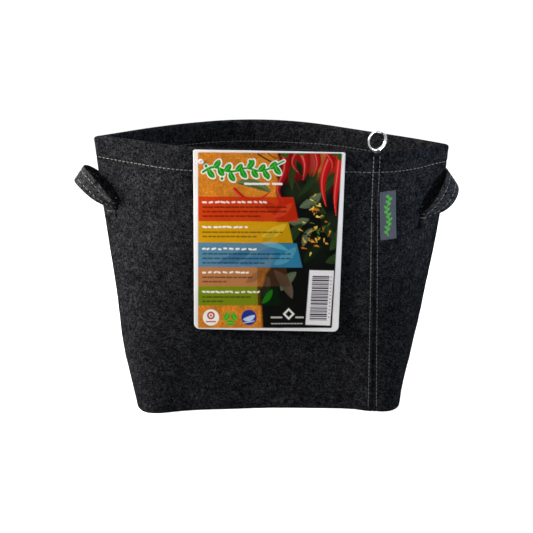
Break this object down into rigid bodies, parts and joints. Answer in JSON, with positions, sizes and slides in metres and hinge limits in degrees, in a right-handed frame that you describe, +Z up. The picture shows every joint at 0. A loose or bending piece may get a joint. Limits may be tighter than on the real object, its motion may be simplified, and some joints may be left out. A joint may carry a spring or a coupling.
{
  "type": "fabric grow bag",
  "caption": "Felt planting bag standing pinched: D-shaped base, lens-shaped hemmed mouth, strap handles, split ring at the rim, side tag and a hang card pinned to the hem.",
  "frame": {"origin": "on the floor at the middle of the base", "axes": "+Z up, +X to the right of the front panel along the pinched mouth, -Y to the front"},
  "size_m": [0.3371, 0.1498, 0.251],
  "materials": {
    "felt": "charcoal non-woven felt, mottled fibres, matt",
    "strap_felt": "charcoal felt strap, matt",
    "thread": "light grey sewing thread",
    "dark_thread": "charcoal sewing thread",
    "ring_steel": "bright nickel-plated spring steel",
    "woven_tag": "slate-blue woven tape with a green woven motif",
    "printed_card": "coated white card with a printed panel",
    "white_plastic": "white moulded plastic"
  },
  "bodies": {
    "bag": {"wall_panel": "felt", "base_panel": "felt", "hem_stitch": "thread", "base_stitch": "thread", "seam_stitch_left": "thread", "seam_stitch_right": "thread", "handle_left_ends": "strap_felt", "handle_left_tacks": "thread", "handle_right_ends": "strap_felt", "handle_right_tacks": "thread", "ring_binding": "dark_thread", "side_tag_root": "woven_tag", "card_header": "printed_card", "card_pin": "white_plastic"},
    "left_loop": {"handle_left": "strap_felt", "handle_left_stitch": "thread"},
    "right_loop": {"handle_right": "strap_felt", "handle_right_stitch": "thread"},
    "ring": {"split_ring": "ring_steel"},
    "tag": {"side_tag": "woven_tag"},
    "card": {"card_leaf": "printed_card"}
  },
  "joints": [
    {"name": "handle_left_swing", "type": "hinge", "parent": "bag", "child": "left_loop", "pos_m": [-0.1327, -0.0283, 0.1776], "axis": [0, 1, 0], "range_deg": [-100, 6]},
    {"name": "handle_right_swing", "type": "hinge", "parent": "bag", "child": "right_loop", "pos_m": [0.1296, -0.02935, 0.1718], "axis": [0, -1, 0], "range_deg": [-98, 5]},
    {"name": "ring_flip", "type": "hinge", "parent": "bag", "child": "ring", "pos_m": [0.0877, -0.05875, 0.23376], "axis": [0.9063, 0.4226, 0], "range_deg": [-60, 95]},
    {"name": "tag_flap", "type": "hinge", "parent": "bag", "child": "tag", "pos_m": [0.0944, -0.06089, 0.1782], "axis": [0.0564, -0.0504, -0.9971], "range_deg": [0, 105]},
    {"name": "card_flap", "type": "hinge", "parent": "bag", "child": "card", "pos_m": [-0.00149, -0.06093, 0.21336], "axis": [-0.9998, 0.0144, 0.016], "range_deg": [0, 85]}
  ]
}
